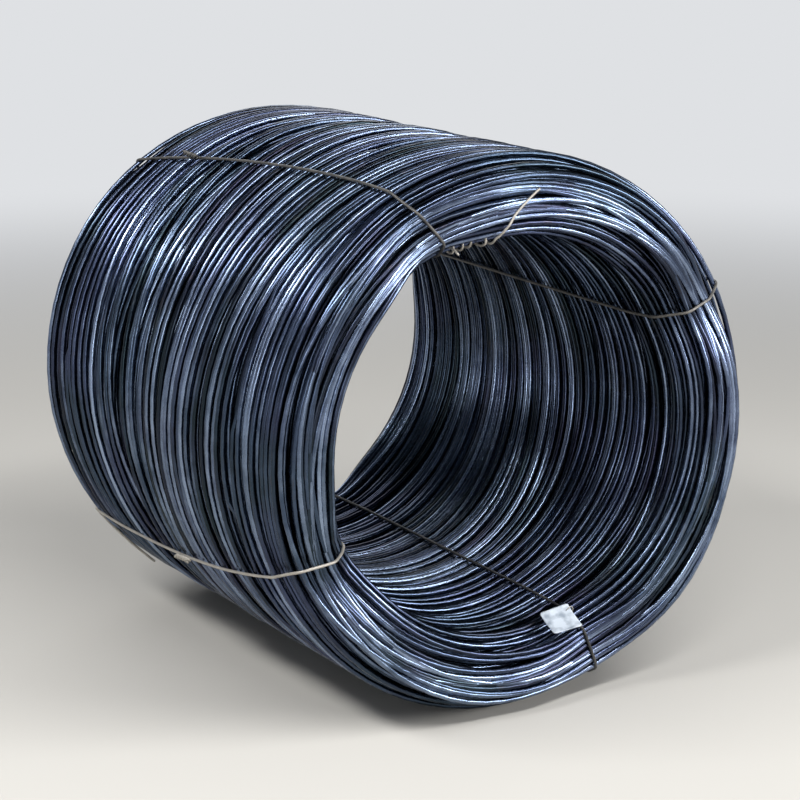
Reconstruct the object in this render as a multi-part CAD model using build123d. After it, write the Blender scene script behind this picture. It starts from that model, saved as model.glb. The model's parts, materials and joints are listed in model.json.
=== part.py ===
from build123d import *
import math
import os

# A coil of hot-rolled wire rod lying on its side, pressed together along its axis and held by four tie wires.
# The bore runs along Y, the tagged end faces -Y, and Z is up. The origin is on the ground below the coil's middle.
# Angles round the coil are seen from the tagged end, counter-clockwise from +X. All lengths are in millimetres.

# The coil as it lies
coil_od = 1250.0
bore_d = 890.0
coil_length = 1300.0
end_round = 75.0

# The turns of rod that show on it. Those outside lie unevenly, one after another at these depths below its full size
rod_d = 12.0
side_pitch = 30.0
turn_relief = 4.0
turn_depths = (0.0, 8.0, 3.0, 11.0, 6.0, 1.0, 9.0)

# The tie wires, and how far they pull the ends in
tie_angles = {"upper_right": 31.0, "upper_left": 122.0, "lower_left": 209.0, "lower_right": 292.0}
tie_d = 6.5
tie_sink = 4.0
tie_bend_r = 45.0
pinch_depth = 40.0
pinch_width = 260.0

# The twist that closes each tie wire, by its place along the coil
twist_length = 60.0
twist_places = {"upper_right": 240.0, "upper_left": 330.0, "lower_left": -75.0, "lower_right": 130.0}

# The blank tag beside the lower right tie wire, and the wire that holds it
tag_length = 75.0
tag_width = 60.0
tag_thick = 1.0
tag_corner_r = 5.0
tag_hole_d = 5.0
tag_edge = 9.0
tag_top = 16.0
tag_gap = 6.0
tag_slope = 30.0
tag_wire_d = 2.0
tag_wire_depth = 14.0
tag_wire_play = 1.2

# The gap between pieces that lie against each other
clearance = 0.3

coil_r = coil_od / 2
bore_r = bore_d / 2
half_length = coil_length / 2
# The rounding of the ends is limited by half the wall of the coil
round_r = min(end_round, 0.49 * (coil_r - bore_r))
wall_half = half_length - round_r
end_inner_r = bore_r + round_r
end_outer_r = coil_r - round_r


def end_outline():
    """The tagged end's outline from the bore to the outside, as (length, place) runs.

    place(s) gives the point and the outward direction at a length s along the run.
    """

    def rounding(centre_r, start):
        def place(s):
            a = math.radians(start) + s / round_r
            out = Vector(math.cos(a), math.sin(a))
            return Vector(centre_r, -wall_half) + out * round_r, out

        return math.pi / 2 * round_r, place

    def flat(s):
        return Vector(end_inner_r + s, -half_length), Vector(0, -1)

    return [rounding(end_inner_r, 180), (end_outer_r - end_inner_r, flat), rounding(end_outer_r, 270)]


def side_outline():
    """The outside's outline from the tagged end to the far end, as one (length, place) run."""
    return [(2 * wall_half, lambda s: (Vector(coil_r, -wall_half + s), Vector(1, 0)))]


def along(runs, s):
    """The point and the outward direction at a length s along several runs."""
    for length, place in runs:
        if s <= length:
            return place(s)
        s -= length
    return runs[-1][1](runs[-1][0])


def turn_points(runs, pitch, depths=(0.0,)):
    """Hollow, crest, hollow, crest ... along the runs: each turn's crest lies its depth inside the outline, and the
    hollow between two turns is turn_relief inside the deeper of them."""
    total = sum(length for length, _ in runs)
    count = max(1, round(total / pitch))
    crests = [depths[i % len(depths)] for i in range(count)]
    points = []
    for i in range(2 * count + 1):
        point, out = along(runs, total * i / (2 * count))
        hollow = max(crests[max(0, i // 2 - 1) : i // 2 + 1]) + turn_relief
        points.append(point - out * (crests[i // 2] if i % 2 else hollow))
    return points


def turned_coil():
    """The coil's section, a row of turns round its ends and outside and a plain bore wall, turned about its axis."""
    front = turn_points(end_outline(), rod_d)
    side = turn_points(side_outline(), side_pitch, turn_depths)
    back = [Vector(p.X, -p.Y) for p in reversed(front)]
    front[0] = Vector(bore_r, -wall_half)
    back[-1] = Vector(bore_r, wall_half)
    points = front + side[1:] + back[1:]
    edges = [ThreePointArc(*points[i : i + 3]) for i in range(0, len(points) - 2, 2)]
    edges.append(Line(points[-1], points[0]))
    return revolve(make_face(Wire(edges)), Axis.Y)


def round_coil(shape, angle):
    """Carries a shape made beside the axis, at angle 0, to its angle round the coil."""
    return Pos(0, 0, coil_r) * Rot(0, -angle, 0) * shape


def pinches():
    """The wide shallow hollows that the tie wires press into both ends, each the side of a round bar that lies
    along a radius of the coil."""
    bar_r = (pinch_width**2 / 4 + pinch_depth**2) / (2 * pinch_depth)
    bar = Pos((coil_r + bore_r) / 2) * Rot(0, 90, 0) * Cylinder(bar_r, coil_r - bore_r + 2 * round_r)
    away = half_length - pinch_depth + bar_r
    return [round_coil(Pos(0, y) * bar, angle) for angle in tie_angles.values() for y in (-away, away)]


# A tie wire's loop round the wall of the coil, in the plane through the axis
tie_outer_r = coil_r + tie_d / 2 - tie_sink
tie_inner_r = bore_r + tie_d / 2 + clearance
tie_end = half_length - pinch_depth + tie_d / 2 - tie_sink
tie_middle_r = (tie_outer_r + tie_inner_r) / 2
slot_half = tie_d / 2 + clearance


def tie_outline(inset):
    """The rounded rectangle that a tie wire's middle follows, or the one that lies inside it by an inset."""
    depth = tie_outer_r - tie_inner_r - 2 * inset
    return Pos(tie_middle_r) * RectangleRounded(depth, 2 * (tie_end - inset), tie_bend_r - inset)


def tie_slots():
    """The narrow slots that the tie wires lie in."""
    around = Pos((coil_r + bore_r) / 2) * Rectangle(coil_r - bore_r + round_r, coil_length + round_r)
    slot = extrude(around - tie_outline(slot_half), slot_half, both=True)
    return [round_coil(slot, angle) for angle in tie_angles.values()]


def tie_wire(angle, twist_place):
    """One tie wire: a closed loop with round bends, and the twist of its two ends lying on the coil."""
    path = tie_outline(0).face().outer_wire()
    loop = sweep(Plane(path @ 0, z_dir=path % 0) * Circle(tie_d / 2), path=path)
    twist = Pos(coil_r + clearance + tie_d, twist_place) * Rot(90, 0, 0) * Cylinder(tie_d, twist_length)
    twist = fillet(twist.edges(), tie_d * 0.6)
    return round_coil(loop + twist, angle)


# The tag lies on the rounded inner edge of the tagged end, with its side tag_gap from the lower right tie wire
slope = math.radians(tag_slope)
edge_r = end_inner_r - round_r * math.cos(slope)
tag_turn = math.degrees((tie_d / 2 + tag_gap + tag_width / 2) / edge_r)
tag_angle = tie_angles["lower_right"] - tag_turn
# A flat tag spans the hollow side of the ring, so its middle stands off by the height of that arc
tag_rise = clearance + (math.hypot(edge_r, tag_width / 2) - edge_r) * math.cos(slope)
tag_seat = Plane(
    origin=(edge_r - tag_rise * math.cos(slope), -wall_half - (round_r + tag_rise) * math.sin(slope), 0),
    x_dir=(0, 0, 1),
    z_dir=(-math.cos(slope), -math.sin(slope), 0),
)
# Its hole and the far leg of its wire lie either side of its edge, where the rounded coil is hole_drop below it
hole_x = tag_width / 2 - tag_edge
hole_y = tag_length / 2 - tag_top
far_leg_x = tag_width / 2 + tag_gap / 2
hole_drop = tag_rise + hole_y**2 / (2 * round_r)


def tag():
    """The blank tag, with the hole that its wire passes through."""
    plate = RectangleRounded(tag_width, tag_length, tag_corner_r) - Pos(hole_x, hole_y) * Circle(tag_hole_d / 2)
    return round_coil(tag_seat * extrude(plate, tag_thick), tag_angle)


def tag_wire():
    """A staple: up from between the turns through the tag's hole, over its edge and in between the turns again."""
    over = tag_thick + clearance + tag_wire_d / 2
    foot = -hole_drop - tag_wire_depth
    corners = [(hole_x, hole_y, foot), (hole_x, hole_y, over), (far_leg_x, hole_y, over), (far_leg_x, hole_y, foot)]
    path = tag_seat * FilletPolyline(*corners, radius=tag_wire_d * 1.2)
    return round_coil(sweep(Plane(path @ 0, z_dir=path % 0) * Circle(tag_wire_d / 2), path=path), tag_angle)


def tag_wire_holes():
    """The two holes between the turns that the tag's wire ends in, wider than it by tag_wire_play all round."""
    hole = Cylinder(tag_wire_d / 2 + tag_wire_play, 2 * (hole_drop + tag_wire_depth + clearance))
    return [round_coil(tag_seat * Pos(x, hole_y) * hole, tag_angle) for x in (hole_x, far_leg_x)]


nodes = {
    "rod_coil": Pos(0, 0, coil_r) * turned_coil() - pinches() - tie_slots() - tag_wire_holes(),
    "tag": tag(),
    "tag_wire": tag_wire(),
}
for name, angle in tie_angles.items():
    nodes[f"tie_wire_{name}"] = tie_wire(angle, twist_places[name])

os.makedirs("parts", exist_ok=True)
for name, shape in nodes.items():
    export_step(shape, f"parts/{name}.step")
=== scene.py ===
"""A coil of hot-rolled wire rod lying on its side, held by four tie wires, with a blank tag at its near end.

Every turn of the rod is laid on the turns below it, the pile is pressed into the coil's shape, and the tie
wires are then pulled tight round the turns. Places round the coil are (r, y, angle): the distance from the
bore's axis, the place along it, and the angle seen from the tagged end, counter-clockwise from +X. Lengths
are in metres.
"""

import json
import math

import bpy
import numpy as np
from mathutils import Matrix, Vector


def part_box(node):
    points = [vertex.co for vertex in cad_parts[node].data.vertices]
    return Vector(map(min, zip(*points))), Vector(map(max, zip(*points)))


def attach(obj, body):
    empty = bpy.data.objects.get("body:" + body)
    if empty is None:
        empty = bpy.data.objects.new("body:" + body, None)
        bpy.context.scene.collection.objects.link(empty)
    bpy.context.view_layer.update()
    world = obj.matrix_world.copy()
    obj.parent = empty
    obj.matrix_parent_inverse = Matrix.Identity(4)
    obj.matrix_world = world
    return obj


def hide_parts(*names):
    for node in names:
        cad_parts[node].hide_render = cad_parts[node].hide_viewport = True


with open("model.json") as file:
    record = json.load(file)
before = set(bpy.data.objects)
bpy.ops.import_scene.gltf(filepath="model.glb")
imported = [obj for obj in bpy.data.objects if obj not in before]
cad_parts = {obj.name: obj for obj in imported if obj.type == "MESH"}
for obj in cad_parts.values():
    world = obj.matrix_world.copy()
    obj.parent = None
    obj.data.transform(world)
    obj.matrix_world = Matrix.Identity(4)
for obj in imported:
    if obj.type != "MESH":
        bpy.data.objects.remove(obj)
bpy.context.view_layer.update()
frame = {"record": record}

# The coil's size, as the frame gives it
coil_low, coil_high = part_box("rod_coil")
coil_r = (coil_high.z - coil_low.z) / 2
half_length = (coil_high.y - coil_low.y) / 2
axis_z = (coil_high.z + coil_low.z) / 2
bore_r = frame["record"]["mounts"][0]["dims"]["r_mm"] / 1000

# The rod, how fine the meshes of its turns are, and how light the turns are, as (mean, spread)
rod_r = 0.006
turn_count = 650
turn_steps = 72
rod_sides = 8
rod_pieces = 5
rod_tone = (0.17, 0.22)
seed = 11

# How far inside the coil's outside and its ends the turns stay, and how many steps either way smooth a turn
# that is laid last, or a tie wire
skin = 0.001
end_skin = 0.0005
smooth_reach = 2

# How the heap is laid. Turns differ in size by size_spread and lie off the axis by a share off_axis of the
# room that is left, less up to looseness. Each lies phase_step round from the last, give or take
# phase_spread, and the lowest of its tries is kept. A rod rests on what lies within rod_reach steps of it.
# Both ends are round, and the tagged one is blunter
size_spread = 0.035
off_axis = (0.15, 1.0)
looseness = 0.012
phase_step = 2.4
phase_spread = 0.8
tries = 60
rod_reach = 3
heap_cell = 0.002
end_round = 0.075
blunter = 0.015

# How the heap is pressed: the gaps that open in it, how neighbours drift together, as (size, waves round,
# twist along, start), how a turn strays by itself, as (waves round, size), how turns bunch, and how the tie
# wires squeeze them
gap_count = 46
gap_width = 0.036
drifts = ((0.014, 2, 5.0, 0.4), (0.008, 3, -4.0, 2.0))
waves = ((1, 0.0035), (2, 0.0018), (3, 0.001))
bunching = 0.010
side_squeeze = 0.010
end_squeeze = 0.25

# The loose turns round the outside, up to a share loose_ends of the way to either end, and the room that the
# heap leaves them
loose_turns = 40
loose_room = 0.011
loose_ends = 0.88
loose_slant = 0.042
loose_slant_change = 0.020

# The last turns, which cross the tagged end, and the room that the heap leaves them. They stay
# crossing_front behind that end and stand crossing_proud over the turns that the tie wires pull in
crossing_turns = 12
crossing_room = 0.010
crossing_front = 0.005
crossing_proud = 0.010
crossing_shift = 0.008
crossing_off_axis = (0.020, 0.052)

# The tie wires: the angles where they pull the ends in, how far and how wide, in degrees. A course has the
# angles that a wire passes at the tagged end, the middle and the far end of its outside, and at the far end
# and the tagged end of the bore. A tone says how dusty a wire is. A wire sinks between the rods it lies on,
# so that its middle is off them by a share tie_off of its radius. Its loose ends have fewer sides
tie_r = 0.00325
tie_off = 0.6
tie_steps = 600
tie_sides = 10
end_sides = 8
tie_angles = {"upper_right": 29.0, "upper_left": 118.5, "lower_left": 205.0, "lower_right": 291.0}
pinch_depth = 0.040
pinch_spread = 12.0
tie_course = {
    "upper_right": (28.0, 29.0, 31.0, 33.0, 29.0),
    "upper_left": (118.0, 118.0, 128.0, 122.0, 113.5),
    "lower_left": (200.0, 213.0, 217.0, 210.0, 204.5),
    "lower_right": (290.5, 291.0, 292.0, 291.5, 290.0),
}
dusty = 0.6
tie_tone = {"upper_right": 0.2, "upper_left": 0.05, "lower_left": dusty, "lower_right": 0.02}

# The twist that closes each tie wire, by its place along the coil. Its middle is off the wire's by twist_off
# and each of its two ends off that middle by twist_apart, as shares of the wire's radius
twist_places = {"upper_right": 0.24, "upper_left": 0.33, "lower_left": 0.0, "lower_right": 0.13}
twist_length = 0.06
twist_turns = 2.5
twist_lean = 0.004
twist_off = 2.2
twist_apart = 1.02

# The loose end of the upper left tie wire: its angle and how far out from the bore it lies, at shares of its
# length, the radius of its wire as a share of tie_r, and its winds, which fade out by the share tail_wound.
# Their middle is off the innermost turns by tail_middle, as (out, back). The tail lies on the turns within
# tail_reach of it
tail_shares = (0, 0.6, 0.8, 1)
tail_angles = (112.5, 100.0, 95.0, 87.5)
tail_out = (0.0, 0.0, 0.050, 0.105)
tail_thin = 0.8
tail_winds = 9
tail_wind_r = 0.0105
tail_wound = 0.62
tail_fade = 0.06
tail_middle = (0.004, 0.002)
tail_reach = 0.014

# The loose end of the lower left tie wire: where it starts, as (r, y, angle), how far it turns in degrees,
# how far it hangs out, and how far it comes back along the coil, as a straight part and a bent one
hanging_start = (0.619, 0.585, 217.0)
hanging_turn = 17.0
hanging_out = 0.012
hanging_back = (0.05, 0.02)

# The tag, with the curl of its corners, and where it lies: turned in its own plane, sloping, tag_gap beside
# the lower right tie wire and tag_back further into the coil
tag_length = 0.078
tag_width = 0.070
tag_thick = 0.0008
tag_corner = 0.005
tag_curl = 0.004
tag_turned = math.radians(-10.0)
tag_slope = math.radians(20.0)
tag_gap = 0.006
tag_back = 0.003

# Where the tag's wire passes through it, from its side and its top, and the loop of that wire: how far over
# the tag's side its middle is, and its reach across the tag, out from it and up along it
tag_edge = 0.009
tag_top = 0.016
tag_wire_r = 0.001
tag_loop_over = 0.006
tag_loop = (0.009, 0.007, 0.002)

# The studio: lamps as (place, width, depth, power), facing the coil's middle, the degrees above the floor
# between which the backdrop's colour fades to the ceiling's, and the distances at which the floor fades too
lamps = {
    "front_strip": ((0.5, -3.7, 4.9), 7.0, 0.55, 320),
    "right_box": ((4.0, -5.0, 2.0), 3.6, 1.3, 370),
    "near_box": ((-3.4, -5.4, 1.7), 1.8, 1.2, 50),
    "left_box": ((-3.6, -0.4, 4.2), 3.5, 0.7, 240),
    "back_box": ((1.5, 4.5, 3.5), 4.0, 1.6, 60),
}
backdrop = "#DFE1E4"
ceiling = "#5C636D"
ceiling_fade = (2.0, 14.0)
floor_fade = (2.5, 8.0)
floor_half = 60.0
camera_place = (-2.846, -half_length - 4.326, 1.919)
camera_target = (0.02, -0.05, 0.60)
camera_lens = 111.0

# The least and the most that a turn of the heap may lie from the axis
inner_r = bore_r + rod_r
outer_r = coil_r - rod_r - skin - loose_room


def turning(values, reach, how):
    """Slides a window of reach steps either way round each closed row and takes its max, min or mean."""
    padded = np.concatenate([values[..., -reach:], values, values[..., :reach]], -1)
    return how(np.lib.stride_tricks.sliding_window_view(padded, 2 * reach + 1, axis=-1), -1)


def end_inset(distance):
    """How far inside the wall the turns stay at a distance from the coil's end, for a round end."""
    left = np.maximum(end_round - distance, 0)
    return end_round - np.sqrt(end_round**2 - left**2)


def lay_turns():
    """Lays circle after circle of rod in a ring-shaped pit, and returns the angles and each turn's r and
    height at them.

    A turn is a circle of radius R whose middle is e off the axis: r(a) = R + e cos(a - phase). R varies
    about the middle of the wall, and e takes up a part of what room that leaves. The turn comes to rest on
    the highest places within its reach, because rod is stiff, and the lowest of its tries is kept. The heap
    holds the height that a rod's middle rests at, for each angle and r. A rod laid at height h raises that
    to h + sqrt((2 rod_r)^2 - distance^2) on both its sides.
    """
    rng = np.random.default_rng(seed)
    angles = np.arange(turn_steps) * 2 * np.pi / turn_steps
    cells = np.arange(inner_r - 2 * rod_r, outer_r + 2 * rod_r, heap_cell)
    heap = np.zeros((turn_steps, len(cells)))
    rows = np.arange(turn_steps)[None]
    laid_r, laid_h = np.zeros((2, turn_count, turn_steps))
    phase = 0.0
    for i in range(turn_count):
        share = (i + 0.5) / turn_count
        inset = end_inset(min(share * 2 * half_length, (1 - share) * 2 * half_length + blunter))
        middle, half = (inner_r + outer_r) / 2, (outer_r - inner_r) / 2 - inset
        room = half - looseness * rng.random()
        apart = np.clip(size_spread * rng.standard_normal(tries), -room, room)
        e = (room - np.abs(apart)) * rng.uniform(*off_axis, tries)
        phase += phase_step
        phases = phase + phase_spread * rng.standard_normal(tries)
        r = middle + apart[:, None] + e[:, None] * np.cos(angles[None] - phases[:, None])
        cell = np.clip(((r - cells[0]) / heap_cell).astype(int), 0, len(cells) - 2)
        under = np.maximum(heap[rows, cell], heap[rows, cell + 1])
        h = turning(turning(under, rod_reach, np.max), rod_reach, np.mean)
        best = np.argmin(h.mean(1))
        r, h = r[best], h[best]
        distance = np.abs(cells[None] - r[:, None])
        lift = np.sqrt(np.maximum(4 * rod_r**2 - distance**2, 0))
        heap = np.where(distance < 2 * rod_r, np.maximum(heap, h[:, None] + lift), heap)
        laid_r[i], laid_h[i] = r, h
    return angles, laid_r, laid_h


def near_ties(angles):
    """1 at a tie wire, falling off round the coil as exp(-(turn / pinch_spread)^2)."""
    turns = [(np.degrees(angles) - t + 180) % 360 - 180 for t in tie_angles.values()]
    return np.max([np.exp(-((t / pinch_spread) ** 2)) for t in turns], 0)


def pressed(angles, laid_r, laid_h):
    """Presses the heap between the coil's ends and returns each turn's r and y, the last laid foremost.

    First the heap opens in gap_count places: all that lies above one is lifted by
    width cos(angle - middle)^2 on one half of the way round, so that bunches of turns part there and meet
    again.

    The heap's height at each angle then gives a turn's share, from 1 at the far end to -1 at the tagged one,
    and y = reach (share + bunching sin(7 share + 1) cos(3 share) (1 - share^2)), where reach leaves
    crossing_room at the tagged end. Neighbours drift along the coil together as they go round, by
    size sin(count a + twist share + start) (1 - share^2). Each turn also strays by itself, by a few waves
    size cos(count a + phase), which fade out as 1 - share^6 in y and are half as large in r.

    Near a tie wire y is pulled in by pinch_depth |share|^4, and r moves towards the middle of the wall by
    the share side_squeeze all along and end_squeeze |share|^10 more at the ends.
    """
    rng = np.random.default_rng(seed + 2)
    first = (np.arange(gap_count) + rng.uniform(0, 1, gap_count)) / gap_count * turn_count
    widest = gap_width * rng.uniform(0.2, 1, gap_count) ** 2
    open_at = np.maximum(np.cos(angles - rng.uniform(0, 2 * np.pi, gap_count)[:, None]), 0) ** 2
    laid_h = laid_h + (np.arange(turn_count)[:, None] >= first) @ (widest[:, None] * open_at)
    top = turning(laid_h.max(0)[None], rod_reach, np.mean)
    share = np.maximum(1 - 2 * laid_h / top, -1)
    tied = near_ties(angles)[None]
    wave_count, wave_size = np.array(waves).T
    phase = rng.uniform(0, 2 * np.pi, (2, turn_count, len(waves)))
    wave_size = wave_size * rng.standard_normal((2, turn_count, len(waves)))
    stray = (wave_size[..., None] * np.cos(wave_count[:, None] * angles + phase[..., None])).sum(2)
    inside = 1 - share**6
    bunched = share + bunching * np.sin(7 * share + 1) * np.cos(3 * share) * (1 - share**2)
    drift = 0
    for size, count, twist, start in drifts:
        drift = drift + size * np.sin(count * angles + twist * share + start)
    reach = half_length - rod_r - end_skin - np.where(share < 0, crossing_room, 0)
    y = bunched * reach + drift * (1 - share**2) + stray[0] * inside
    y = y - np.sign(share) * np.abs(share) ** 4 * pinch_depth * tied
    middle = (coil_r + bore_r) / 2
    squeeze = (side_squeeze + end_squeeze * np.abs(share) ** 10) * tied
    # Straying brings a turn no nearer to a wall than half of what it lay off it, or half of rod_r
    r = laid_r + stray[1] * 0.5
    least = inner_r + 0.5 * np.clip(laid_r - inner_r, 0, rod_r)
    most = outer_r - 0.5 * np.clip(outer_r - laid_r, 0, rod_r)
    r = np.clip(r, least, most)
    return r + (middle - r) * squeeze, y


def lay_loose_turns(angles, r, y):
    """Lays a few more turns round the outside of the rest, one after another, each on the outermost turns
    within its reach, and returns their r and y. They run aslant,
    y(a) = start + size (cos(a - phase) + cos(2 a - phase - 2) / 3), with phase = 4 share, give or take 0.15,
    and size = (loose_slant + loose_slant_change sin(6 share)) (1 - |share|^3). Both change little from one
    turn to the next, so that neighbours keep side by side."""
    rng = np.random.default_rng(seed + 3)
    place = (np.arange(loose_turns) + rng.uniform(0.2, 0.8, loose_turns)) / loose_turns
    share = place * 2 * loose_ends - loose_ends
    size = (loose_slant + loose_slant_change * np.sin(6.0 * share)) * (1 - np.abs(share) ** 3)
    phase = 4.0 * share[:, None] + 0.15 * rng.standard_normal((loose_turns, 2)) + (0.0, 2.0)
    laid_r, laid_y = r, y
    for k in range(loose_turns):
        slant = np.cos(angles - phase[k, 0]) + np.cos(2 * angles - phase[k, 1]) / 3
        turn_y = share[k] * half_length + size[k] * slant
        lift = np.sqrt(np.maximum(4 * rod_r**2 - (turn_y - laid_y) ** 2, 0))
        rest = np.where(lift > 0, laid_r + lift, 0).max(0)
        turn_r = turning(turning(rest[None], smooth_reach, np.max), smooth_reach, np.mean)
        laid_r = np.concatenate([laid_r, np.minimum(turn_r, coil_r - rod_r - skin)])
        laid_y = np.concatenate([laid_y, turn_y[None]])
    return laid_r[len(r) :], laid_y[len(y) :]


def lay_crossing_turns(angles, r, y):
    """Lays the last turns over the tagged end, one after another on the foremost turns within reach, and
    returns their r and y. They are circles well off the axis, r(a) = middle + e cos(a - phase), so they
    cross the turns below, and the tie wires pull them in too, by most of pinch_depth."""
    rng = np.random.default_rng(seed + 4)
    least_y = -half_length + rod_r + crossing_front + (pinch_depth - crossing_proud) * near_ties(angles)
    laid_r, laid_y = r, y
    for _ in range(crossing_turns):
        middle = (bore_r + coil_r) / 2 + rng.uniform(-crossing_shift, crossing_shift)
        phase = rng.uniform(0, 2 * np.pi)
        turn_r = middle + rng.uniform(*crossing_off_axis) * np.cos(angles - phase)
        distance = np.abs(turn_r - laid_r)
        lift = np.sqrt(np.maximum(4 * rod_r**2 - distance**2, 0))
        rest = np.where(distance < 2 * rod_r, laid_y - lift, half_length).min(0)
        turn_y = turning(turning(rest[None], smooth_reach, np.min), smooth_reach, np.mean)
        laid_r = np.concatenate([laid_r, turn_r[None]])
        laid_y = np.concatenate([laid_y, np.maximum(turn_y, least_y)])
    return laid_r[len(r) :], laid_y[len(y) :]


def round_coil(r, y, angles):
    """Points in the row frame from r, y and the angle in radians."""
    return np.stack([r * np.cos(angles), y, axis_z + r * np.sin(angles)], -1)


def add_mesh(name, points, faces, finish, uv=None, **attributes):
    """Makes a mesh from an array of points and one of equal-sided faces, with a value of each attribute a
    point."""
    mesh = bpy.data.meshes.new(name)
    mesh.vertices.add(len(points))
    mesh.vertices.foreach_set("co", points.astype(np.float32).ravel())
    mesh.loops.add(faces.size)
    mesh.loops.foreach_set("vertex_index", faces.astype(np.int32).ravel())
    mesh.polygons.add(len(faces))
    mesh.polygons.foreach_set("loop_start", np.arange(0, faces.size, faces.shape[1], dtype=np.int32))
    mesh.update(calc_edges=True)
    mesh.shade_smooth()
    if uv is not None:
        mesh.uv_layers.new(name="UVMap").data.foreach_set("uv", uv.astype(np.float32).ravel())
    for key, values in attributes.items():
        attribute = mesh.attributes.new(key, "FLOAT", "POINT")
        attribute.data.foreach_set("value", values.astype(np.float32).ravel())
    mesh.materials.append(finish)
    piece = bpy.data.objects.new(name, mesh)
    bpy.context.scene.collection.objects.link(piece)
    return piece


def tube_grid(paths, radius, sides, closed):
    """Rings of points round each path: path + radius (cos v N + sin v B), where T runs along the path, N
    points away from the bore's axis as far as T lets it, and B = T x N. paths is (paths, steps, 3) and
    radius is one number or one a step."""
    ahead, behind = np.roll(paths, -1, 1), np.roll(paths, 1, 1)
    if not closed:
        ahead[:, -1], behind[:, 0] = paths[:, -1], paths[:, 0]
    along = ahead - behind
    along /= np.linalg.norm(along, axis=-1, keepdims=True)
    out = paths - np.array([0, 0, axis_z])
    out[..., 1] = 0
    out = out - (out * along).sum(-1, keepdims=True) * along
    out /= np.linalg.norm(out, axis=-1, keepdims=True)
    side = np.cross(along, out)
    v = np.arange(sides) * 2 * np.pi / sides
    ring = np.cos(v)[:, None] * out[:, :, None] + np.sin(v)[:, None] * side[:, :, None]
    radius = np.broadcast_to(radius, paths.shape[:2])[:, :, None, None]
    return paths[:, :, None] + ring * radius


def tube_faces(count, steps, sides, closed):
    """The four-sided faces between neighbouring rings of tube_grid's points, facing outwards, with their UV:
    u counts the steps along and v the share of the way round."""
    path, step, side = np.meshgrid(
        np.arange(count), np.arange(steps if closed else steps - 1), np.arange(sides), indexing="ij"
    )

    def index(s, v):
        return ((path * steps + s % steps) * sides + v % sides).ravel()

    corners = [(step, side), (step, side + 1), (step + 1, side + 1), (step + 1, side)]
    faces = np.stack([index(s, v) for s, v in corners], -1)
    uv = np.stack([np.stack([s.ravel(), v.ravel() / sides], -1) for s, v in corners], 1)
    return faces, uv


def add_tubes(name, paths, radius, sides, closed, finish, tone):
    """One mesh of tubes along several paths of as many points, with a tone for each path. An open tube's
    ends are closed by round caps: the radius shrinks to nothing over two more rings at each end."""
    if not closed:
        step_in = (paths[:, :1] - paths[:, 1:2], paths[:, -1:] - paths[:, -2:-1])
        a, b = (s / np.linalg.norm(s, axis=-1, keepdims=True) * radius for s in step_in)
        paths = np.concatenate(
            [paths[:, :1] + a, paths[:, :1] + a * 0.8, paths, paths[:, -1:] + b * 0.8, paths[:, -1:] + b], 1
        )
        scale = np.ones(paths.shape[1])
        scale[[0, 1, -2, -1]] = 1e-3, 0.6, 0.6, 1e-3
        radius = radius * scale
    count, steps = paths.shape[:2]
    points = tube_grid(paths, radius, sides, closed).reshape(-1, 3)
    faces, uv = tube_faces(count, steps, sides, closed)
    gap = np.linalg.norm(np.diff(paths[0], axis=0), axis=1).mean()
    uv = uv * np.array([gap, 1.0])
    piece = add_mesh(name, points, faces, finish, uv, tone=np.repeat(tone, steps * sides))
    if not closed:
        weld_ends(piece)
    return piece


def weld_ends(piece):
    """Merges the points of the tiny end rings into one point each."""
    weld = piece.modifiers.new("weld", "WELD")
    weld.merge_threshold = 2e-5


def linear(hex_colour):
    """An sRGB hex colour as linear RGBA."""
    value = np.array([int(hex_colour[i : i + 2], 16) for i in (1, 3, 5)]) / 255
    return (*np.where(value <= 0.04045, value / 12.92, ((value + 0.055) / 1.055) ** 2.4), 1.0)


def node(tree, kind, settings=None, links=None):
    """Adds a shader node. settings go to its properties by name or its sockets by number, or by name where
    no property has it, and links to its sockets from other nodes' sockets."""
    made = tree.nodes.new(kind)
    for key, value in (settings or {}).items():
        if isinstance(key, int) or not hasattr(made, key):
            made.inputs[key].default_value = value
        else:
            setattr(made, key, value)
    for key, source in (links or {}).items():
        tree.links.new(source, made.inputs[key])
    return made


def material(name):
    """An empty material with its Principled shader."""
    made = bpy.data.materials.new(name)
    made.use_nodes = True
    tree = made.node_tree
    return made, tree, tree.nodes["Principled BSDF"]


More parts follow.
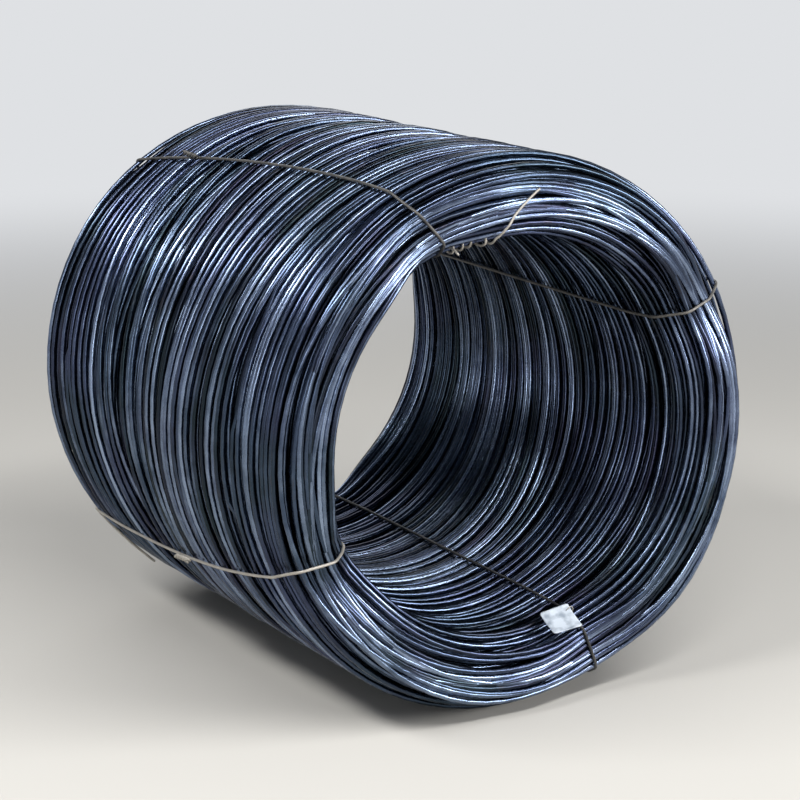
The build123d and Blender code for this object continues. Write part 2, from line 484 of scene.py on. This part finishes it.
def hot_rolled_mill_scale():
    """Hot-rolled steel rod, air cooled, under its own mill scale: a thin dark blue-grey oxide, half glossy,
    that gives each turn a narrow bright line on near black. Its film is faintly violet in some places and
    green in others over 100 to 300 mm. Turns differ, as the scale is thinner on some, and it clouds over 40
    to 150 mm. Streaks of it about 45 mm long and 10 mm wide run along the rod, and some are a duller
    brown."""
    made, tree, shader = material("hot_rolled_steel_mill_scale")
    place = node(tree, "ShaderNodeTexCoord").outputs
    tone = node(tree, "ShaderNodeAttribute", {"attribute_name": "tone"}).outputs["Fac"]
    settings = {"Scale": 9.0, "Detail": 5.0, "Roughness": 0.65}
    cloud = node(tree, "ShaderNodeTexNoise", settings, {"Vector": place["Object"]})
    along = node(tree, "ShaderNodeSeparateXYZ", None, {"Vector": place["UV"]}).outputs
    on_rod = node(tree, "ShaderNodeCombineXYZ", None, {"X": along["X"], "Y": along["Y"], "Z": tone})
    settings = {"operation": "MULTIPLY", 1: (22.0, 4.0, 60.0)}
    streak = node(tree, "ShaderNodeVectorMath", settings, {0: on_rod.outputs[0]})
    settings = {"Scale": 1.0, "Detail": 4.0, "Roughness": 0.7}
    flake = node(tree, "ShaderNodeTexNoise", settings, {"Vector": streak.outputs[0]})
    settings = {"operation": "MULTIPLY_ADD", 1: 0.8}
    thin = node(tree, "ShaderNodeMath", settings, {0: cloud.outputs["Fac"], 2: tone})
    shade = node(tree, "ShaderNodeValToRGB", None, {"Fac": thin.outputs[0]})
    ramp = shade.color_ramp.elements
    ramp[0].position, ramp[0].color = 0.25, linear("#20252C")
    ramp[1].position, ramp[1].color = 1.00, linear("#94A4BE")
    ramp.new(0.62).color = linear("#445065")
    film = node(tree, "ShaderNodeTexNoise", {"Scale": 4.0, "Detail": 2.0}, {"Vector": place["Object"]})
    tint = node(tree, "ShaderNodeValToRGB", None, {"Fac": film.outputs["Fac"]})
    ramp = tint.color_ramp.elements
    ramp[0].position, ramp[0].color = 0.38, linear("#3D5257")
    ramp[1].position, ramp[1].color = 0.62, linear("#57537A")
    settings = {"data_type": "RGBA", 0: 0.16}
    tinted = node(tree, "ShaderNodeMix", settings, {6: shade.outputs[0], 7: tint.outputs[0]})
    settings = {"From Min": 0.60, "From Max": 0.70, "To Max": 0.3}
    brown = node(tree, "ShaderNodeMapRange", settings, {"Value": flake.outputs["Fac"]})
    settings = {"data_type": "RGBA", 7: linear("#54483F")}
    colour = node(tree, "ShaderNodeMix", settings, {0: brown.outputs[0], 6: tinted.outputs[2]})
    tree.links.new(colour.outputs[2], shader.inputs["Base Color"])
    settings = {"From Min": 0.3, "From Max": 0.7, "To Min": 0.22, "To Max": 0.31}
    gloss = node(tree, "ShaderNodeMapRange", settings, {"Value": flake.outputs["Fac"]})
    tree.links.new(gloss.outputs[0], shader.inputs["Roughness"])
    settings = {"Strength": 0.06, "Distance": 0.0004}
    bump = node(tree, "ShaderNodeBump", settings, {"Height": flake.outputs["Fac"]})
    tree.links.new(bump.outputs[0], shader.inputs["Normal"])
    shader.inputs["Metallic"].default_value = 1.0
    return made


def annealed_tie_wire():
    """Soft annealed steel wire, drawn and then heated, so it is dull. Some of it is nearly black with oxide,
    and some, from the tone that its piece gives, is a light brownish grey with dust, in patches 20 to 40 mm
    long."""
    made, tree, shader = material("annealed_steel_tie_wire")
    place = node(tree, "ShaderNodeTexCoord").outputs["Object"]
    tone = node(tree, "ShaderNodeAttribute", {"attribute_name": "tone"}).outputs["Fac"]
    dust = node(tree, "ShaderNodeTexNoise", {"Scale": 35.0, "Detail": 4.0}, {"Vector": place})
    settings = {"operation": "MULTIPLY_ADD", 1: 0.4}
    patchy = node(tree, "ShaderNodeMath", settings, {0: dust.outputs["Fac"], 2: tone})
    shade = node(tree, "ShaderNodeValToRGB", None, {"Fac": patchy.outputs[0]})
    ramp = shade.color_ramp.elements
    ramp[0].position, ramp[0].color = 0.15, linear("#26272A")
    ramp[1].position, ramp[1].color = 1.00, linear("#B4AEA4")
    tree.links.new(shade.outputs[0], shader.inputs["Base Color"])
    shader.inputs["Metallic"].default_value = 0.5
    shader.inputs["Roughness"].default_value = 0.5
    return made


def blank_film_tag():
    """A white polyester film tag, printed with nothing: matt and faintly blue, soiled a little in patches."""
    made, tree, shader = material("white_polyester_film_tag")
    place = node(tree, "ShaderNodeTexCoord").outputs["Object"]
    soil = node(tree, "ShaderNodeTexNoise", {"Scale": 45.0, "Detail": 5.0}, {"Vector": place})
    shade = node(tree, "ShaderNodeValToRGB", None, {"Fac": soil.outputs["Fac"]})
    ramp = shade.color_ramp.elements
    ramp[0].position, ramp[0].color = 0.34, linear("#8A949F")
    ramp[1].position, ramp[1].color = 0.58, linear("#C2CAD3")
    tree.links.new(shade.outputs[0], shader.inputs["Base Color"])
    shader.inputs["Roughness"].default_value = 0.45
    return made


def add_rod_turns(angles, r, y, finish):
    """The turns of rod, in a few pieces one after another along the coil."""
    rng = np.random.default_rng(seed + 1)
    order = np.argsort(y.mean(1))
    paths = round_coil(r, y, angles[None])[order]
    tones = rng.normal(*rod_tone, len(order))
    for k, part in enumerate(np.array_split(np.arange(len(order)), rod_pieces)):
        piece = add_tubes(f"rod_turns_{k + 1}", paths[part], rod_r, rod_sides, True, finish, tones[part])
        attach(piece, "root")
        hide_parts("rod_coil")


def taut_line(r, y, stand_off, count):
    """The closed line that a wire pulled tight round rods at (r, y) takes, evenly spaced and
    counter-clockwise from the middle of the outside: its hull, held off by stand_off. For every direction d,
    the line touches at h(d) n + h'(d) t, with h the furthest that any rod reaches along n = (cos d, sin d),
    and t = (-sin d, cos d)."""
    # A direction every twentieth of a degree
    d = np.linspace(-np.pi / 2, 1.5 * np.pi, 7201)
    n = np.stack([np.cos(d), np.sin(d)], -1)
    furthest = np.argmax(n @ np.stack([r, y]), 1)
    corner = np.stack([r, y], -1)[furthest]
    line = corner + n * stand_off
    start = np.argmax(line[:, 1] > 0) if line[0, 1] < 0 else 0
    line = np.concatenate([line[start:-1], line[: start + 1]])
    gone = np.concatenate([[0], np.cumsum(np.linalg.norm(np.diff(line, axis=0), axis=1))])
    at = np.linspace(0, gone[-1], count, endpoint=False)
    return np.interp(at, gone, line[:, 0]), np.interp(at, gone, line[:, 1])


def course(name, r, y):
    """A tie wire's angle at r and y, in radians. Outside it is a + b t + c t^2, with t = y / half_length,
    through its three angles of tie_course there, and along the bore it is a straight line through its two.
    Across the ends it goes from one to the other as 3 w^2 - 2 w^3, where w is the share of the wall outside
    r."""
    near, middle, far, bore_far, bore_near = tie_course[name]
    t = y / half_length
    outside = middle + (far - near) / 2 * t + ((far + near) / 2 - middle) * t**2
    inside = (bore_far + bore_near) / 2 + (bore_far - bore_near) / 2 * t
    w = np.clip((r - bore_r) / (coil_r - bore_r), 0, 1)
    return np.radians(inside + (outside - inside) * (3 * w**2 - 2 * w**3))


def tie_path(name, r, y):
    """A tie wire pulled tight round the wall, as r, y and angle. Each turn of rod is taken where the wire
    crosses it, which a few rounds find, as the wire's angle there depends on that place."""
    turned = np.full(len(r), math.radians(tie_angles[name]))
    for _ in range(4):
        at = turned / (2 * np.pi) * turn_steps
        low, part = at.astype(int), at % 1
        row = np.arange(len(r))
        turn_r = r[row, low] * (1 - part) + r[row, (low + 1) % turn_steps] * part
        turn_y = y[row, low] * (1 - part) + y[row, (low + 1) % turn_steps] * part
        turned = course(name, turn_r, turn_y)
    line_r, line_y = taut_line(turn_r, turn_y, rod_r + tie_r * tie_off, tie_steps)
    line_r, line_y = (turning(v[None], smooth_reach, np.mean)[0] for v in (line_r, line_y))
    return line_r, line_y, course(name, line_r, line_y)


def add_wire_tail(r, y, finish):
    """The loose end of the upper left tie wire. It is wound round the innermost turns at the tagged end,
    then goes out over that end. The wound part is a helix of radius tail_wind_r about a middle that follows
    those turns, its winds a little uneven, and the rest lies on the foremost turns below it."""
    t = np.linspace(0, 1, 150)
    turned = np.interp(t, tail_shares, tail_angles)
    out = np.interp(t, tail_shares, tail_out)
    column = np.round(turned / 360 * turn_steps).astype(int) % turn_steps
    below_r, below_y = r[:, column], y[:, column]
    inner = np.sort(np.where(below_y > -0.5 * half_length, coil_r, below_r), 0)[:3].mean(0)
    near = np.abs(below_r - (inner + out)) < tail_reach
    front = np.where(near, below_y, half_length).min(0)
    front = turning(turning(front[None], 6, np.min), 5, np.mean)[0]
    wind = np.clip((tail_wound - t) / tail_fade, 0, 1)
    v = t * 2 * np.pi * tail_winds + 0.8 * np.sin(9 * t)
    path_r = turning((inner + out)[None], 4, np.mean)[0] + tail_middle[0] - tail_wind_r * np.cos(v) * wind
    path_y = front + tail_middle[1] * wind - (rod_r + tie_r) * (1 - wind) - tail_wind_r * np.sin(v) * wind
    path_y = np.maximum(path_y, -half_length + 1.3 * tie_r)
    # The windows run on from one end to the other, so the path's first and last few points are left out
    path = round_coil(path_r[4:-4], path_y[4:-4], np.radians(turned[4:-4]))[None]
    piece = add_tubes("tie_wire_tail", path, tie_r * tail_thin, end_sides, False, finish, np.array([dusty]))
    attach(piece, "root")


def add_hanging_end(finish):
    """The loose end of the lower left tie wire, which hangs off the coil's underside near the far end. From
    its start it goes out by hanging_out t^2, back by straight t + bent t^3 and round by hanging_turn t."""
    t = np.linspace(0, 1, 40)
    r, y, angle = hanging_start
    straight, bent = hanging_back
    path_r, path_y = r + hanging_out * t**2, y - straight * t - bent * t**3
    path = round_coil(path_r, path_y, np.radians(angle + hanging_turn * t))[None]
    tone = np.array([tie_tone["lower_left"]])
    piece = add_tubes("tie_wire_hanging_end", path, tie_r, end_sides, False, finish, tone)
    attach(piece, "root")


def add_tie(name, r, y, finish):
    """A tie wire, and the twist of its two ends that lies on it."""
    line_r, line_y, turned = tie_path(name, r, y)
    tone = np.array([tie_tone[name]])
    loop = round_coil(line_r, line_y, turned)[None]
    piece = add_tubes(f"tie_wire_loop_{name}", loop, tie_r, tie_sides, True, finish, tone)
    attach(piece, "root")
    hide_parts(f"tie_wire_{name}")
    outside = np.flatnonzero(line_r > (coil_r + bore_r) / 2)
    at = outside[np.argmin(np.abs(line_y[outside] - twist_places[name]))]
    twist = twisted_ends(line_r[at] + twist_off * tie_r, line_y[at], turned[at])
    piece = add_tubes(f"tie_twist_{name}", twist, tie_r, tie_sides, False, finish, np.repeat(tone, 2))
    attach(piece, "root")


def twisted_ends(r, y, angle):
    """Two wires twisted round each other along y: each is a helix about their middle, half a turn from the
    other, and the middle leans away from the coil by twist_lean t^2."""
    t = np.linspace(0, 1, 60)
    path_r = r + twist_lean * t**2
    path_y = y - twist_length / 2 + twist_length * t
    paths = []
    for half_turn in (0, np.pi):
        v = half_turn + t * twist_turns * 2 * np.pi
        out, around = np.cos(v) * tie_r * twist_apart, np.sin(v) * tie_r * twist_apart
        paths.append(round_coil(path_r + out, path_y, angle + around / r))
    return np.array(paths)


def tag_frame():
    """The tag's middle on the rounded inner edge, and its directions across, up towards the bore and out."""
    edge_r = bore_r + end_round * (1 - math.cos(tag_slope))
    edge_y = -half_length + end_round * (1 - math.sin(tag_slope))
    angle = math.radians(tie_angles["lower_right"]) - (tie_r + tag_gap + tag_width / 2) / edge_r
    radial = np.array([math.cos(angle), 0, math.sin(angle)])
    across = np.array([-math.sin(angle), 0, math.cos(angle)])
    axial = np.array([0, 1.0, 0])
    out = -math.cos(tag_slope) * radial - math.sin(tag_slope) * axial
    up = np.cross(out, across)
    across, up = (
        across * math.cos(tag_turned) + up * math.sin(tag_turned),
        up * math.cos(tag_turned) - across * math.sin(tag_turned),
    )
    return np.array([0, 0, axis_z]) + radial * edge_r + axial * edge_y, across, up, out


def add_tag(finish, wire_finish):
    """The blank tag: a rounded rectangle with a slight curl, x = u width / 2, y = v length / 2 and a height
    of tag_curl (v^2 + 0.3 u v). It stands on the round edge that the end has away from the tie wires, so it
    is off the turns, which are pulled in there. Its wire's loop through its top corner is an ellipse that a
    second wave bends up and down the tag."""
    middle, across, up, out = tag_frame()
    half_width, half_tall = tag_width / 2, tag_length / 2
    middle = middle + np.array([0, tag_back, 0])
    count = 25
    u, v = np.meshgrid(np.linspace(-1, 1, count), np.linspace(-1, 1, count), indexing="ij")
    # Each row's ends are drawn in at the corners by the circle of the corner's radius
    past = np.clip((np.abs(v) * half_tall - (half_tall - tag_corner)) / tag_corner, 0, 1)
    width = half_width - tag_corner * (1 - np.sqrt(1 - past**2))
    x, y, z = u * width, v * half_tall, tag_curl * (v**2 + 0.3 * u * v)
    points = middle + x[..., None] * across + y[..., None] * up + z[..., None] * out
    i, j = np.meshgrid(np.arange(count - 1), np.arange(count - 1), indexing="ij")
    index = (i * count + j).ravel()
    faces = np.stack([index, index + count, index + count + 1, index + 1], -1)
    piece = add_mesh("blank_tag", points.reshape(-1, 3), faces, finish)
    wall = piece.modifiers.new("thickness", "SOLIDIFY")
    wall.thickness = tag_thick
    wall.offset = 0
    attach(piece, "root")
    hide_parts("tag")
    corner = middle + across * (half_width - tag_edge) + up * (half_tall - tag_top)
    t = np.linspace(0, 2 * np.pi, 48, endpoint=False)[:, None]
    reach_across, reach_out, reach_up = tag_loop
    loop = corner + across * tag_loop_over + np.cos(t) * across * reach_across + np.sin(t) * out * reach_out
    loop = loop + np.sin(2 * t) * up * reach_up
    tone = np.array([dusty])
    piece = add_tubes("tag_wire_loop", loop[None], tag_wire_r, end_sides, True, wire_finish, tone)
    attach(piece, "root")
    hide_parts("tag_wire")


def add_floor():
    """A pale matt floor that fades into the backdrop's colour between the distances of floor_fade."""
    made, tree, shader = material("pale_floor")
    shader.inputs["Base Color"].default_value = linear("#BBB8B2")
    shader.inputs["Roughness"].default_value = 1.0
    shader.inputs["Specular IOR Level"].default_value = 0.0
    place = node(tree, "ShaderNodeTexCoord").outputs["Object"]
    away = node(tree, "ShaderNodeVectorMath", {"operation": "LENGTH"}, {0: place})
    settings = {"interpolation_type": "SMOOTHSTEP", "From Min": floor_fade[0], "From Max": floor_fade[1]}
    fade = node(tree, "ShaderNodeMapRange", settings, {"Value": away.outputs["Value"]})
    far = node(tree, "ShaderNodeEmission", {"Color": linear(backdrop)})
    links = {0: fade.outputs[0], 1: shader.outputs[0], 2: far.outputs[0]}
    mixed = node(tree, "ShaderNodeMixShader", None, links)
    tree.links.new(mixed.outputs[0], tree.nodes["Material Output"].inputs["Surface"])
    corners = floor_half * np.array([[-1, -1, 0], [1, -1, 0], [1, 1, 0], [-1, 1, 0]])
    add_mesh("floor", corners, np.array([[0, 1, 2, 3]]), made)


def add_area_light(name, place, target, width, depth, power):
    """A soft box facing its target, with its width level."""
    light = bpy.data.lights.new(name, "AREA")
    light.shape = "RECTANGLE"
    light.size, light.size_y = width, depth
    light.energy = power
    lamp = bpy.data.objects.new(name, light)
    lamp.location = place
    lamp.rotation_euler = (Vector(target) - Vector(place)).to_track_quat("-Z", "Y").to_euler()
    bpy.context.scene.collection.objects.link(lamp)


def add_lights():
    """A long soft box over the tagged end, one in front of it on either side, one over the left and one
    behind, under a dim ceiling. The surround is pale low down and fades to the ceiling's colour."""
    for name, (place, width, depth, power) in lamps.items():
        add_area_light(name, place, (0, 0, axis_z), width, depth, power)
    world = bpy.data.worlds.new("surround")
    bpy.context.scene.world = world
    world.use_nodes = True
    tree = world.node_tree
    place = node(tree, "ShaderNodeTexCoord").outputs["Generated"]
    up = node(tree, "ShaderNodeSeparateXYZ", None, {"Vector": place}).outputs["Z"]
    fade = [math.sin(math.radians(degrees)) for degrees in ceiling_fade]
    settings = {"interpolation_type": "SMOOTHSTEP", "From Min": fade[0], "From Max": fade[1]}
    height = node(tree, "ShaderNodeMapRange", settings, {"Value": up})
    settings = {"data_type": "RGBA", 6: linear(backdrop), 7: linear(ceiling)}
    shade = node(tree, "ShaderNodeMix", settings, {0: height.outputs[0]})
    tree.links.new(shade.outputs[2], tree.nodes["Background"].inputs["Color"])


def add_camera():
    """Stands where the photographer stood, to the left of the tagged end at eye height, and looks at the
    coil."""
    place, target = Vector(camera_place), Vector(camera_target)
    camera = bpy.data.cameras.new("camera")
    camera.sensor_width = 36.0
    camera.lens = camera_lens
    made = bpy.data.objects.new("camera", camera)
    made.location = place
    made.rotation_euler = (target - place).to_track_quat("-Z", "Y").to_euler()
    bpy.context.scene.collection.objects.link(made)
    bpy.context.scene.camera = made


add_camera()
scale_finish = hot_rolled_mill_scale()
wire_finish = annealed_tie_wire()
angles, laid_r, laid_h = lay_turns()
turn_r, turn_y = pressed(angles, laid_r, laid_h)
for lay_more in (lay_loose_turns, lay_crossing_turns):
    more_r, more_y = lay_more(angles, turn_r, turn_y)
    turn_r, turn_y = np.concatenate([turn_r, more_r]), np.concatenate([turn_y, more_y])
add_rod_turns(angles, turn_r, turn_y, scale_finish)
for tie in tie_angles:
    add_tie(tie, turn_r, turn_y, wire_finish)
add_wire_tail(turn_r, turn_y, wire_finish)
add_hanging_end(wire_finish)
add_tag(blank_film_tag(), wire_finish)
add_floor()
add_lights()
bpy.context.scene.view_settings.view_transform = "Standard"
